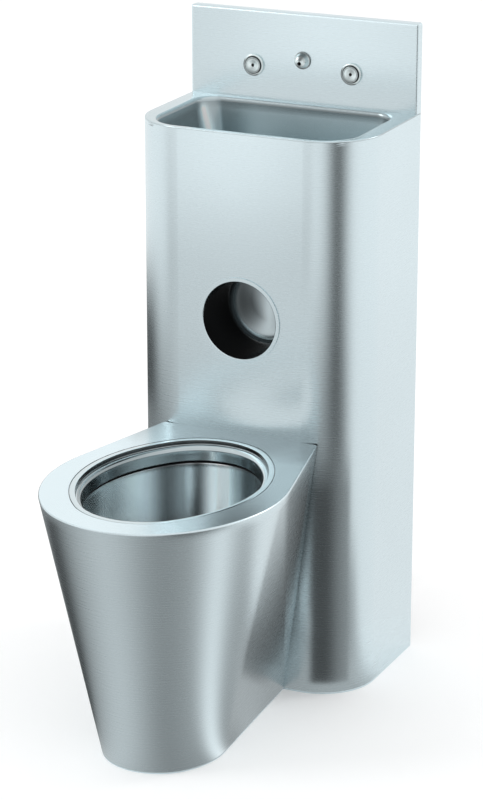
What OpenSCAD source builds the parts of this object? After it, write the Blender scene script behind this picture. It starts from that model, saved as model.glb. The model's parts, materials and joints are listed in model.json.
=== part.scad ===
// Stainless steel toilet and basin combination unit.
// The back of the unit is the wall plane, Y = 0 inside every module, with the room towards -Y,
// the floor at Z = 0 and X across. The finished unit is moved so that its box stands centred on
// the origin.

/* [Column] */
// Width of the column
column_w = 390; // [376:2:430]
// Depth of the column, from the wall to its front
column_d = 250; // [240:5:280]
// Radius of the column's two front corners
corner_r = 90; // [80:2:96]
// Height of the basin rim above the floor
rim_h = 900; // [880:5:950]
// Thickness of the sheet steel
sheet_t = 2; // [1.5:0.25:2.5]
// Width of the flanges folded in along the back edges
back_flange = 25; // [20:1:30]
// Width of the flange folded in round the foot
foot_flange = 18; // [12:1:24]

/* [Splash panel] */
// Height of the panel above the rim
panel_h = 142; // [130:2:180]
// Depth of the panel, from the wall to its face
panel_d = 16; // [15:0.5:20]
// Outside radius of the panel's folds
fold_r = 4; // [3:0.5:5]
// Distance between the two push buttons
button_pitch = 168; // [160:2:190]
// Height of the push buttons above the rim
button_rise = 54; // [48:1:62]
// Height of the spout above the rim
spout_rise = 68; // [64:1:80]

/* [Basin] */
// Width of the deck on each side of the bowl
side_land = 28; // [24:1:34]
// Width of the deck in front of the bowl
front_land = 12; // [10:1:18]
// Width of the deck between the bowl and the panel
back_land = 14; // [10:1:20]
// Depth of the bowl at its walls
bowl_depth = 130; // [120:2:134]
// Distance that the bowl's sides lean in
bowl_lean = 34; // [26:1:40]
// Corner radius at the front of the bowl
bowl_front_r = 58; // [50:1:66]
// Corner radius at the back of the bowl
bowl_back_r = 34; // [28:1:42]

/* [Roll recess] */
// Radius of the recess for the toilet roll
roll_r = 63; // [60:1:68]
// Distance from the rim down to the middle of the recess
roll_drop = 295; // [288:1:310]
// Depth of the recess
roll_depth = 122; // [110:1:124]

/* [Pan] */
// Height of the top of the pan
pan_h = 421; // [405:1:440]
// Width of the pan's top in front of the ring
pan_front_land = 40; // [34:1:60]
// Width of the pan's top on each side of the ring
pan_side_land = 39; // [36:1:46]
// Distance that the pan's root wraps past the column's flat front, on each side
pan_root_wrap = 28; // [20:1:35]
// Length of the nose, from the widest place to the front
pan_nose = 217; // [206:1:226]
// Radius of the nose
pan_nose_r = 165; // [158:1:172]
// Greatest width of the foot
foot_w = 190; // [184:2:204]
// Width of the foot at the column
foot_root_w = 156; // [146:2:170]
// Distance that the foot reaches out from the column
foot_reach = 372; // [350:2:390]
// Length of the foot's nose
foot_nose = 110; // [104:1:120]
// Radius of the foot's nose
foot_nose_r = 88; // [82:1:90]

/* [Rim ring] */
// Width of the ring at its joint with the plate
ring_w = 290; // [280:1:300]
// Length of the ring at its joint with the plate
ring_l = 394; // [386:1:400]
// Radius of the ring's two ends
ring_end_r = 112; // [106:1:118]
// Distance from the column to the ring
ring_back = 36; // [34:1:40]
// Width of the ring's flat flange
ring_flange = 12; // [10:0.5:16]
// Radius of the rolled edge
roll_edge_r = 8; // [6:0.5:9]
// Height of the collar that hangs from the rolled edge
collar_h = 22; // [16:1:26]

/* [Pan waste] */
// Outside radius of the trap and its spigot
outlet_r = 50; // [46:1:50]
// Height of the spigot's axis
outlet_z = 200; // [190:1:202]
// Bend radius of the trap
trap_bend_r = 56; // [55:0.5:57]
// Distance that pipes and valves reach through the wall
wall_pass = 60; // [56:1:90]

/* [Push buttons] */
// Radius of the button's face
button_r = 13; // [12.5:0.1:13.4]
// Distance that the button travels
travel = 5; // [3:0.5:6]
// Outside radius of the bezel
bezel_r = 17.5; // [17:0.25:19]
// Height of the bezel above the panel
bezel_h = 5; // [4:0.5:7]
// Distance that the button stands proud of its bezel
button_proud = 3; // [2:0.5:4]

/* [Hidden] */

// Overrun of every cut, the seat clearance between parts and the running clearance of the stems
cut = 1;
seat = 0.2;
running = 0.05;
thin = 0.01;

// Rounds: true circles, and the coarser circles that hulls are drawn over
$fn = 96;
hull_fn = 48;
spring_sides = 6;

// Steel finishes
satin = [0.74, 0.78, 0.79];
dull = [0.62, 0.65, 0.66];
nickel = [0.8, 0.78, 0.72];
rubber = [0.12, 0.12, 0.13];

// Heights and places worked out from the sizes above
casing_h = rim_h - sheet_t;
column_y = -column_d;
panel_y = -panel_d;
roll_z = rim_h - roll_drop;
button_x = button_pitch / 2;
button_z = rim_h + button_rise;
spout_z = rim_h + spout_rise;
pan_reach = ring_back + ring_l + pan_front_land;
front_y = -column_d - pan_reach;
origin_shift = -(front_y + wall_pass) / 2;

// Basin
deck_lip = 12;
deck_lip_back = 30;
flare = 5;
flare_h = 6;
shoulder_h = 24;
shoulder_in = 16;
sump_drop = 5;
sump_r = 30;
bowl_half = column_w / 2 - side_land;
bowl_y0 = -panel_d - back_land;
bowl_y1 = -column_d + front_land;
floor_z = rim_h - bowl_depth;
sump_z = floor_z - sump_drop;
waste_y = -105;

// The basin leans in less at its front and back than at its sides, and its corners tighten
back_share = 0.7;
front_share = 0.6;
front_r_share = 0.33;
back_r_share = 0.12;

// Basin waste and trap
waste_r = 20;
waste_wall = 3;
waste_l = 50;
waste_flange_r = 27;
waste_flange_t = 1.5;
grid_r = 2.2;

// The strainer's rings of holes: how many, and on what radius
grid_rings = [[6, 7], [12, 13]];

// Gasket, nut and trap under the basin
gasket_t = 4;
waste_nut_r = 29;
waste_nut_h = 8;
drain_r = 16;
drain_wall = 1.5;
drain_bend_r = 28;
drain_in = 12;
drain_step = 4;
drain_neck = 8;
drain_top = sump_z - waste_l;
drain_low = drain_top - drain_neck - drain_bend_r;
drain_rise_top = drain_top + drain_step;
drain_out_z = drain_rise_top + drain_neck + drain_bend_r;
union_r = 24;
union_h = 20;
union_lip = 6;

// Roll recess
recess_flange = 5;
recess_flange_t = 1.6;
recess_fillet = 28;

// Pan: the widest place, the radii of the flanks and the lean of the straight roots
skirt_h = pan_h - sheet_t;
pan_w = ring_w + 2 * pan_side_land;
pan_root_w = column_w - 2 * corner_r + 2 * pan_root_wrap;
pan_mid_y = front_y + pan_nose;
foot_mid_y = -column_d - foot_reach + foot_nose;
skirt_flange = 46;
ring_mid_y = -column_d - ring_back - ring_l / 2;

// Flush channel and bowl
channel_out = 6;
channel_ledge = 10;
channel_h = 64;
channel_z = pan_h - 2 * sheet_t - channel_h;
lip_in = 13;
lip_gap = 4;
bowl_top_z = pan_h - roll_edge_r - collar_h + lip_gap;
bowl_in = lip_in + sheet_t;
bowl_sides = 64;
bowl_levels = 9;
sump_levels = 4;
oval_share = 0.98;
flush_z = channel_z + sheet_t + channel_h / 2;
stub_r = 19;
stub_l = 18;
pipe_r = 14;
pipe_wall = 1;
pipe_bend_r = 40;
pipe_y = 30;

// Pan trap
trap_wall = 2;
trap_ahead = 180;
trap_run = 138;
trap_floor_gap = 12;
trap_inlet = 2;
trap_low = outlet_r + trap_floor_gap;
trap_y = -column_d - trap_ahead;
spigot_y = trap_y + 3 * trap_bend_r + trap_run;
bowl_out_z = trap_low + trap_bend_r + trap_inlet;
bowl_neck = 22;
clamp_w = 20;
clamp_t = 3;

// Valves
panel_hole_r = 15.3;
valve_r = 15;
cap_l = 14;
stem_r = 4;
pin_hole_r = 2;
pin_hole_l = 5;
edge = 1.2;
spring_room = 12;
guide_l = 10;
chamber_r = 10;
chamber_l = 32;
inlet_r = 10.45;
inlet_bore_r = 7;
inlet_l = 10;
plug_r = 8;
plug_t = 4;
plug_z = 36;
wire_r = 0.6;
coil_r = 8;
coil_turns = 4;
coil_steps = 14;
nut_across = 40;
nut_h = 8;
cap_back = cap_l - bezel_h - button_proud;
guide_z = cap_back + spring_room;
chamber_z = guide_z + guide_l;
valve_l = panel_d + wall_pass;
port_r = 5;
union_flush_r = 19;
union_flush_l = 22;

// Spout
spout_r = 14;
spout_tip_r = 8;
spout_l = 14;
spout_rim = 2.5;
spout_dome_r = 17;
jet_r = 3.2;
jet_angle = 16;
shank_r = 10.4;
shank_bore_r = 6;
shank_end = 8;
shank_l = panel_d + pipe_y + shank_end;
spout_nut_across = 34;
supply_r = 6;
supply_wall = 1;
supply_run = [button_x, spout_rise - button_rise];
supply_angle = atan2(supply_run[1], supply_run[0]);

// Brackets and fixings
bracket_t = 3;
bracket_leg = 40;
bracket_h = 50;
bolt_hole_r = 5.5;
hole_inset = 14;
bracket_in = 28;
bracket_drop = 100;
upper_z = rim_h - bracket_drop;
lower_z = 120;
floor_leg = 42;
floor_w = 60;
floor_y = -90;
plate_h0 = 122;
plate_h1 = 362;
plate_side = 20;
stud_r = 4;
stud_hole_r = 4.5;
stud_l = 24;
head_across = 13;
head_h = 5;
washer_r = 8;
washer_t = 1.5;
stud_edge = 34;
stud_upper_z = 332;
stud_lower_z = 146;
hole_clear = 5;
trap_hole_r = outlet_r + hole_clear;
pipe_hole_r = pipe_r + hole_clear;

// Half width of the pan's skirt at its root, at a height
function root_half(z) = (foot_root_w + (pan_root_w - foot_root_w) * z / skirt_h) / 2;

stud_places = [for (z = [stud_upper_z, stud_lower_z], s = [-1, 1]) [s * (root_half(z) - stud_edge), z]];

// Radius of the flank arcs that join a nose of radius r, on half width a and length b
function flank_r(a, b, r) = ((b - r) * (b - r) + a * a - r * r) / (2 * (a - r));

// Plan outline of the column, drawn in by an inset
module column_outline(inset = 0) {
    half = column_w / 2;
    translate([-half + inset, column_y + corner_r])
        square([column_w - 2 * inset, column_d - corner_r]);
    translate([-half + corner_r, column_y + inset])
        square([column_w - 2 * corner_r, column_d - inset]);
    for (s = [-1, 1])
        translate([s * (half - corner_r), column_y + corner_r]) circle(corner_r - inset);
}

// Four-centred oval about the origin
module oval(w, l, end_r, inset = 0) {
    side_r = flank_r(w / 2, l / 2, end_r);
    side_x = side_r - w / 2;
    meet = atan2(l / 2 - end_r, side_x);
    intersection() {
        translate([-side_x, 0]) circle(side_r - inset);
        translate([side_x, 0]) circle(side_r - inset);
        square([w, 2 * (side_r - inset) * sin(meet)], center = true);
    }
    for (s = [-1, 1])
        translate([0, s * (l / 2 - end_r)]) circle(end_r - inset);
}

// Sweeps a profile round the oval: the profile's x is the distance out from the oval
module sweep_oval(w, l, end_r) {
    side_r = flank_r(w / 2, l / 2, end_r);
    side_x = side_r - w / 2;
    meet = atan2(l / 2 - end_r, side_x);
    for (s = [0, 180]) rotate([0, 0, s]) {
        translate([-side_x, 0, 0]) rotate([0, 0, -meet])
            rotate_extrude(angle = 2 * meet) translate([side_r, 0]) children();
        translate([0, l / 2 - end_r, 0]) rotate([0, 0, meet])
            rotate_extrude(angle = 180 - 2 * meet) translate([end_r, 0]) children();
    }
}

// Plan outline with a round nose, curved flanks and straight roots that narrow to the column
module nosed_outline(w, root_w, mid_y, nose, nose_r, inset = 0) {
    side_r = flank_r(w / 2, nose, nose_r);
    side_x = side_r - w / 2;
    meet = atan2(nose - nose_r, side_x);
    run = column_y - mid_y;
    reach = root_w / 2 + side_x;
    lean = atan2(run, reach) - acos(side_r / sqrt(run * run + reach * reach));
    r = side_r - inset;
    touch_x = r * cos(lean) - side_x;
    touch_y = mid_y + r * sin(lean);
    root = root_w / 2 - inset / cos(lean);
    low_y = mid_y - r * sin(meet);
    translate([0, mid_y - nose + nose_r]) circle(nose_r - inset);
    intersection() {
        translate([-side_x, mid_y]) circle(r);
        translate([side_x, mid_y]) circle(r);
        translate([-w / 2, low_y]) square([w, touch_y - low_y]);
    }
    polygon([[-touch_x, touch_y], [touch_x, touch_y], [root, column_y], [-root, column_y]]);
}

module pan_outline(inset = 0) {
    nosed_outline(pan_w, pan_root_w, pan_mid_y, pan_nose, pan_nose_r, inset);
}

module foot_outline(inset = 0) {
    nosed_outline(foot_w, foot_root_w, foot_mid_y, foot_nose, foot_nose_r, inset);
}

// Faces the panel: local z runs from the panel's face into the wall
module at_panel(x, z) {
    translate([x, panel_y, z]) rotate([-90, 0, 0]) children();
}

// Turns a drawing in X and Y to stand in the Y Z plane
module in_side_plane() {
    rotate([90, 0, 90]) children();
}

// Lays a cylinder along +Y from a place
module along_y(r, l) {
    rotate([-90, 0, 0]) cylinder(r = r, h = l);
}

// One level of the bowl, as four corner posts
module bowl_level(z, inset) {
    front_r = bowl_front_r - inset * front_r_share;
    back_r = bowl_back_r - inset * back_r_share;
    half = bowl_half - inset;
    y0 = bowl_y0 - inset * back_share;
    y1 = bowl_y1 + inset * front_share;
    for (s = [-1, 1]) {
        translate([s * (half - front_r), y1 + front_r, z])
            cylinder(r = front_r, h = thin, $fn = hull_fn);
        translate([s * (half - back_r), y0 - back_r, z])
            cylinder(r = back_r, h = thin, $fn = hull_fn);
    }
}

// The pressed form of the basin, with a rolled edge and a recess for the waste. Its outside is
// drawn out from its inside by wall.
module bowl_form(wall) {
    throat_z = rim_h - flare_h - wall;
    shoulder_z = floor_z + shoulder_h - wall / 2;
    hull() {
        bowl_level(rim_h - wall, -flare - wall);
        bowl_level(throat_z, -wall);
    }
    hull() {
        bowl_level(throat_z, -wall);
        bowl_level(shoulder_z, bowl_lean - shoulder_in - wall);
    }
    hull() {
        bowl_level(shoulder_z, bowl_lean - shoulder_in - wall);
        bowl_level(floor_z - wall, bowl_lean - wall / 2);
    }
    translate([0, waste_y, sump_z - wall]) cylinder(r = sump_r + wall, h = sump_drop + wall);
}

module column_casing() {
    color(satin) {
        difference() {
            linear_extrude(casing_h) column_outline();
            translate([0, 0, -cut]) linear_extrude(casing_h + 2 * cut) {
                column_outline(sheet_t);
                translate([-column_w / 2 + sheet_t, -cut]) square([column_w - 2 * sheet_t, 2 * cut]);
            }
            front_holes();
        }
        for (s = [-1, 1])
            translate([s * (column_w / 2 - back_flange / 2), -sheet_t / 2, casing_h / 2])
                cube([back_flange, sheet_t, casing_h], center = true);
        linear_extrude(sheet_t) difference() {
            column_outline();
            column_outline(foot_flange);
            translate([-column_w / 2 + foot_flange, -cut])
                square([column_w - 2 * foot_flange, 2 * cut]);
        }
    }
}

// Holes in the column's front: the recess, the trap, the flush pipe and the studs
module front_holes() {
    translate([0, column_y - cut, roll_z]) along_y(roll_r + sheet_t + seat, corner_r);
    translate([0, column_y - cut, trap_low]) along_y(trap_hole_r, corner_r);
    translate([0, column_y - cut, flush_z]) along_y(pipe_hole_r, corner_r);
    stud_holes(corner_r);
}

// Holes for the studs, from ahead of the pan's frame to l behind the column's front
module stud_holes(l) {
    for (p = stud_places)
        translate([p[0], column_y - sheet_t - cut, p[1]])
            along_y(stud_hole_r, sheet_t + cut + l);
}

module basin() {
    color(satin) difference() {
        union() {
            translate([0, 0, casing_h]) linear_extrude(sheet_t) column_outline();
            translate([0, 0, casing_h - deck_lip]) linear_extrude(deck_lip) intersection() {
                difference() {
                    column_outline(sheet_t + seat);
                    column_outline(2 * sheet_t + seat);
                }
                translate([-column_w / 2, column_y])
                    square([column_w, column_d - deck_lip_back]);
            }
            bowl_form(sheet_t);
        }
        bowl_form(0);
        translate([0, waste_y, sump_z - sheet_t - cut]) cylinder(r = waste_r, h = sump_drop + cut);
    }
}

// Block with rounded folds along its top and front edges
module panel_block(inset) {
    w = column_w - 2 * inset;
    h = panel_h - inset;
    d = panel_d - inset;
    r = fold_r - inset;
    intersection() {
        translate([0, cut, rim_h]) rotate([90, 0, 0]) linear_extrude(panel_d + cut) {
            translate([-w / 2, -inset]) square([w, h + inset - r]);
            translate([-w / 2 + r, -inset]) square([w - 2 * r, h + inset]);
            for (s = [-1, 1]) translate([s * (w / 2 - r), h - r]) circle(r);
        }
        translate([0, 0, rim_h - inset]) linear_extrude(panel_h + inset) {
            translate([-w / 2, -d + r]) square([w, d - r + (inset > 0 ? cut : 0)]);
            translate([-w / 2 + r, -d]) square([w - 2 * r, d]);
            for (s = [-1, 1]) translate([s * (w / 2 - r), -d + r]) circle(r);
        }
        translate([-column_w / 2, 0, rim_h]) in_side_plane() linear_extrude(column_w) {
            translate([-d, -inset]) square([d + cut, h + inset - r]);
            translate([-d + r, -inset]) square([d - r + cut, h + inset]);
            translate([-d + r, h - r]) circle(r);
        }
    }
}

module splash_panel() {
    color(satin) {
        difference() {
            panel_block(0);
            panel_block(sheet_t);
            for (s = [-1, 1])
                translate([s * button_x, panel_y - cut, button_z]) along_y(panel_hole_r, panel_d);
            translate([0, panel_y - cut, spout_z]) along_y(shank_r + seat, panel_d);
        }
        translate([-column_w / 2 + sheet_t, panel_y + sheet_t, rim_h])
            cube([column_w - 2 * sheet_t, panel_d - 2 * sheet_t, sheet_t]);
    }
}

// Half section of a cup with a rounded bottom edge
module cup_section(r, depth, fillet) {
    square([r - fillet, depth]);
    square([r, depth - fillet]);
    translate([r - fillet, depth - fillet]) circle(fillet);
}

module roll_recess() {
    color(satin) translate([0, column_y, roll_z]) rotate([-90, 0, 0]) rotate_extrude() {
        difference() {
            intersection() {
                union() {
                    cup_section(roll_r + sheet_t, roll_depth + sheet_t, recess_fillet + sheet_t);
                    translate([0, -recess_flange_t])
                        square([roll_r + recess_flange, recess_flange_t]);
                }
                translate([0, -cut - recess_flange_t])
                    square([roll_r + recess_flange, roll_depth + recess_flange_t + 2 * cut]);
            }
            cup_section(roll_r, roll_depth, recess_fillet);
            translate([0, -recess_flange_t - cut]) square([roll_r, recess_flange_t + 2 * cut]);
            translate([-roll_r, -cut]) square([roll_r, roll_depth + 2 * cut]);
        }
    }
}

// Ruled form between the foot and the top of the pan
module skirt_form(inset, over) {
    hull() {
        translate([0, 0, skirt_h + over - thin]) linear_extrude(thin)
            pan_outline(inset, $fn = 2 * hull_fn);
        translate([0, 0, -over]) linear_extrude(thin) foot_outline(inset, $fn = 2 * hull_fn);
    }
}

module pan_skirt() {
    top = pan_root_w / 2;
    low = foot_root_w / 2;
    color(satin) {
        difference() {
            skirt_form(0, 0);
            skirt_form(sheet_t, cut);
        }
        difference() {
            translate([0, column_y, 0]) rotate([90, 0, 0]) linear_extrude(sheet_t) difference() {
                polygon([[-low, 0], [low, 0], [top, skirt_h], [-top, skirt_h]]);
                polygon([[skirt_flange - low, skirt_flange], [low - skirt_flange, skirt_flange],
                    [top - skirt_flange, skirt_h + cut], [skirt_flange - top, skirt_h + cut]]);
            }
            stud_holes(cut);
            translate([0, column_y - sheet_t - cut, trap_low])
                along_y(trap_hole_r, sheet_t + 2 * cut);
        }
        linear_extrude(sheet_t) difference() {
            foot_outline(sheet_t / 2);
            foot_outline(foot_flange);
        }
    }
}

module pan_plate() {
    color(satin) translate([0, 0, skirt_h]) linear_extrude(sheet_t) difference() {
        pan_outline();
        translate([0, ring_mid_y]) oval(ring_w, ring_l, ring_end_r);
    }
}

// Flat band round the ring's oval, between two insets
module oval_band(outer, inner) {
    difference() {
        oval(ring_w, ring_l, ring_end_r, outer);
        oval(ring_w, ring_l, ring_end_r, inner);
    }
}

// Section of the ring's rolled edge
module roll_section() {
    translate([-ring_flange, pan_h - roll_edge_r]) intersection() {
        difference() {
            circle(roll_edge_r, $fn = hull_fn);
            circle(roll_edge_r - sheet_t, $fn = hull_fn);
        }
        translate([-roll_edge_r, 0]) square(roll_edge_r);
    }
}

module rim_ring() {
    edge_in = ring_flange + roll_edge_r;
    color(satin) translate([0, ring_mid_y, 0]) {
        translate([0, 0, skirt_h]) linear_extrude(sheet_t) oval_band(seat, ring_flange);
        sweep_oval(ring_w, ring_l, ring_end_r) roll_section();
        translate([0, 0, pan_h - roll_edge_r - collar_h]) linear_extrude(collar_h)
            oval_band(edge_in - sheet_t, edge_in);
    }
}

module flush_channel() {
    stub_y = ring_mid_y + ring_l / 2 + channel_out - sheet_t;
    color(dull) difference() {
        union() {
            translate([0, ring_mid_y, channel_z]) {
                linear_extrude(sheet_t) oval_band(-channel_out, lip_in);
                linear_extrude(channel_h) oval_band(-channel_out, sheet_t - channel_out);
                translate([0, 0, channel_h]) linear_extrude(sheet_t)
                    oval_band(-channel_out, channel_ledge);
            }
            translate([0, stub_y, flush_z]) along_y(stub_r, stub_l);
        }
        translate([0, stub_y - stub_r / 2, flush_z]) along_y(stub_r - sheet_t, stub_l + stub_r);
    }
}

// Point of a four-centred oval whose outward direction there is turn
function oval_point(a, b, r, turn) =
    let (side_r = flank_r(a, b, r), side_x = side_r - a, meet = atan2(b - r, side_x))
    abs(sin(turn)) <= sin(meet)
        ? [side_r * cos(turn) - sign(cos(turn)) * side_x, side_r * sin(turn)]
        : [r * cos(turn), r * sin(turn) + sign(sin(turn)) * (b - r)];

// One level of the pan's bowl, share of the way up from its outlet. The walls stand upright at the
// lip and close in faster and faster towards the outlet, which lies behind the middle.
function bowl_ring(share, z, grow) =
    let (open = sin(90 * share),
        out_r = outlet_r - sheet_t,
        a = out_r + (ring_w / 2 - bowl_in - out_r) * open + grow,
        b = out_r + (ring_l / 2 - bowl_in - out_r) * open + grow,
        r = (out_r + (ring_end_r - bowl_in - out_r) * open) * oval_share + grow,
        y = trap_y + (ring_mid_y - trap_y) * open)
    [for (k = [0:bowl_sides - 1])
        let (p = oval_point(a, b, r, 360 * (k + 0.5) / bowl_sides)) [p[0], y + p[1], z]];

// Levels of the bowl, each with its share and its height: the neck, the rings of its wall, then
// the upright lip
function bowl_profile() =
    let (neck_z = bowl_out_z + bowl_neck, rise = (channel_z - neck_z) / bowl_levels)
    [[0, bowl_out_z], each [for (i = [0:bowl_levels]) [i / bowl_levels, neck_z + rise * i]],
        [1, bowl_top_z]];

// Closed form over some of the bowl's levels, drawn on past both ends by over
module bowl_loft(levels, grow, over) {
    low = levels[0];
    high = levels[len(levels) - 1];
    rings = [if (over > 0) bowl_ring(low[0], low[1] - over, grow),
        each [for (p = levels) bowl_ring(p[0], p[1], grow)],
        if (over > 0) bowl_ring(high[0], high[1] + over, grow)];
    n = bowl_sides;
    points = [for (ring = rings) each ring];
    walls = [for (i = [0:len(rings) - 2], k = [0:n - 1])
        let (a = i * n + k, b = i * n + (k + 1) % n) each [[a, b + n, b], [a, a + n, b + n]]];
    polyhedron(points, concat(walls, [[for (k = [0:n - 1]) k],
        [for (k = [n - 1:-1:0]) (len(rings) - 1) * n + k]]), convexity = 4);
}

module bowl_shell(levels) {
    color(satin) difference() {
        bowl_loft(levels, sheet_t, 0);
        bowl_loft(levels, 0, cut);
    }
}

module pan_bowl() {
    profile = bowl_profile();
    bowl_shell([for (i = [sump_levels + 1:len(profile) - 1]) profile[i]]);
}

// Lower part of the bowl, welded on under the pressed upper part
module bowl_sump() {
    profile = bowl_profile();
    bowl_shell([for (i = [0:sump_levels + 1]) profile[i]]);
}

// Lower part of a trap: inlet, the turn under, a level run and the rise
module trap_lower(r, y, top, low, bend, run, rise_top, over_in, over_out) {
    mid_z = low + bend;
    translate([0, y, mid_z]) cylinder(r = r, h = top - mid_z + over_in);
    translate([0, y + bend, mid_z]) in_side_plane() rotate([0, 0, 180])
        rotate_extrude(angle = 90) translate([bend, 0]) circle(r);
    if (run > 0)
        translate([0, y + bend, low]) along_y(r, run);
    translate([0, y + bend + run, mid_z]) in_side_plane() rotate([0, 0, 270])
        rotate_extrude(angle = 90) translate([bend, 0]) circle(r);
    translate([0, y + 2 * bend + run, mid_z]) cylinder(r = r, h = rise_top - mid_z + over_out);
}

// Turn to the wall above a trap's rise
module trap_turn(r, y, bend, out_z) {
    translate([0, y + bend, out_z - bend]) in_side_plane() rotate([0, 0, 90])
        rotate_extrude(angle = 90) translate([bend, 0]) circle(r);
}

module pan_trap_solid(r, over) {
    trap_lower(r, trap_y, bowl_out_z, trap_low, trap_bend_r, trap_run, outlet_z - trap_bend_r,
        over, 0);
    trap_turn(r, spigot_y - trap_bend_r, trap_bend_r, outlet_z);
    if (over > 0)
        translate([0, spigot_y, outlet_z]) along_y(r, over);
}

module pan_trap() {
    color(dull) difference() {
        pan_trap_solid(outlet_r, 0);
        pan_trap_solid(outlet_r - trap_wall, cut);
    }
}

// Straight pipe from the trap's last bend through the wall
module outlet_spigot() {
    color(dull) translate([0, spigot_y, outlet_z]) rotate([-90, 0, 0])
        ring(outlet_r, outlet_r - trap_wall, wall_pass - spigot_y);
}

// Ring with a bore, standing on a place
module ring(r, bore, h) {
    difference() {
        cylinder(r = r, h = h);
        translate([0, 0, -cut]) cylinder(r = bore, h = h + 2 * cut);
    }
}

// Hexagon nut with a round bore
module hex_nut(across, bore, h) {
    difference() {
        cylinder(r = across / 2 / cos(30), h = h, $fn = 6);
        translate([0, 0, -cut]) cylinder(r = bore, h = h + 2 * cut);
    }
}

module trap_clamp() {
    color(dull) translate([0, trap_y, bowl_out_z - trap_inlet])
        ring(outlet_r + seat + clamp_t, outlet_r + seat, clamp_w);
}

module bezel(s) {
    bore = button_r + seat + running;
    color(satin) at_panel(s * button_x, button_z) rotate_extrude() polygon([
        [bore, 0], [bezel_r, 0], [bezel_r, edge - bezel_h], [bezel_r - edge, -bezel_h],
        [bore + edge, -bezel_h], [bore, edge - bezel_h]]);
}

module button(s) {
    front = -bezel_h - button_proud;
    color(satin) at_panel(s * button_x, button_z) difference() {
        union() {
            rotate_extrude() polygon([
                [0, front], [button_r - edge, front], [button_r, front + edge],
                [button_r, cap_back], [0, cap_back]]);
            cylinder(r = stem_r, h = plug_z + plug_t);
        }
        translate([0, 0, front - cut]) cylinder(r = pin_hole_r, h = pin_hole_l + cut);
    }
}

module plug(s) {
    color(rubber) at_panel(s * button_x, button_z) translate([0, 0, plug_z])
        ring(plug_r, stem_r + running, plug_t);
}

// Wire spring as one tube along a helix, with its ends lying square
module spring(s) {
    z0 = cap_back + seat + wire_r;
    z1 = guide_z - seat - wire_r;
    rings = coil_turns * coil_steps;
    points = [for (i = [0:rings], k = [0:spring_sides - 1])
        let (turn = 360 * i / coil_steps, side = 360 * k / spring_sides,
            out = coil_r + wire_r * cos(side))
        [out * cos(turn), out * sin(turn), z0 + (z1 - z0) * i / rings + wire_r * sin(side)]];
    sides = [for (i = [0:rings - 1], k = [0:spring_sides - 1])
        let (a = i * spring_sides + k, b = i * spring_sides + (k + 1) % spring_sides)
        each [[a, b + spring_sides, b], [a, a + spring_sides, b + spring_sides]]];
    first = [for (k = [0:spring_sides - 1]) k];
    last = [for (k = [spring_sides - 1:-1:0]) rings * spring_sides + k];
    color(nickel) at_panel(s * button_x, button_z)
        polyhedron(points, concat(sides, [first, last]), convexity = 8);
}

// Valve behind the panel: counterbore for the cap, guide for the stem, chamber and inlet nipple
module valve(s, port_bore) {
    color(nickel) at_panel(s * button_x, button_z) difference() {
        union() {
            cylinder(r = valve_r, h = valve_l - inlet_l);
            cylinder(r = inlet_r, h = valve_l);
        }
        translate([0, 0, -cut]) cylinder(r = button_r + seat + running, h = guide_z + cut);
        cylinder(r = stem_r + running, h = chamber_z + cut);
        translate([0, 0, chamber_z]) cylinder(r = chamber_r, h = chamber_l);
        cylinder_from(chamber_z, inlet_bore_r, valve_l + cut);
        translate([0, 0, panel_d + pipe_y]) port_way(s) cylinder(r = port_bore, h = valve_r + cut);
    }
}

module cylinder_from(z, r, end) {
    translate([0, 0, z]) cylinder(r = r, h = end - z);
}

// The left valve's port looks towards the spout, the right valve's port looks down
module port_way(s) {
    rotate([0, 0, s < 0 ? -supply_angle : 90]) rotate([0, 90, 0]) children();
}

module lock_nut(s) {
    color(nickel) at_panel(s * button_x, button_z) translate([0, 0, sheet_t])
        hex_nut(nut_across, valve_r + running, nut_h);
}

// Fixed nozzle: the jet slopes down through its tip
module spout() {
    color(satin) at_panel(0, spout_z) difference() {
        union() {
            intersection() {
                union() {
                    translate([0, 0, -spout_rim]) cylinder(r = spout_r, h = spout_rim);
                    translate([0, 0, -spout_l])
                        cylinder(r1 = spout_tip_r, r2 = spout_r - spout_rim / 2, h = spout_l);
                }
                translate([0, 0, spout_dome_r - spout_l]) sphere(r = spout_dome_r);
            }
            cylinder(r = shank_r, h = shank_l);
        }
        cylinder_from(0, shank_bore_r, shank_l + cut);
        rotate([180 + jet_angle, 0, 0]) cylinder(r = jet_r, h = 2 * spout_l);
        translate([0, 0, panel_d + pipe_y]) rotate([0, 0, 180 - supply_angle])
            rotate([0, 90, 0]) cylinder(r = port_r, h = shank_r + cut);
    }
}

module spout_nut() {
    color(nickel) at_panel(0, spout_z) translate([0, 0, sheet_t])
        hex_nut(spout_nut_across, shank_r + running, nut_h);
}

module supply_pipe() {
    l = norm(supply_run);
    color(nickel) at_panel(-button_x, button_z) translate([0, 0, panel_d + pipe_y])
        rotate([0, 0, -supply_angle]) rotate([0, 90, 0]) difference() {
            cylinder(r = supply_r, h = l);
            translate([0, 0, -cut]) cylinder(r = supply_r - supply_wall, h = l + 2 * cut);
            rotate([0, -90, 0]) translate([0, 0, -valve_l])
                cylinder(r = valve_r + seat, h = 2 * valve_l);
            translate([0, 0, l]) rotate([0, -90, 0]) translate([0, 0, -valve_l])
                cylinder(r = shank_r + seat, h = 2 * valve_l);
        }
}

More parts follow.
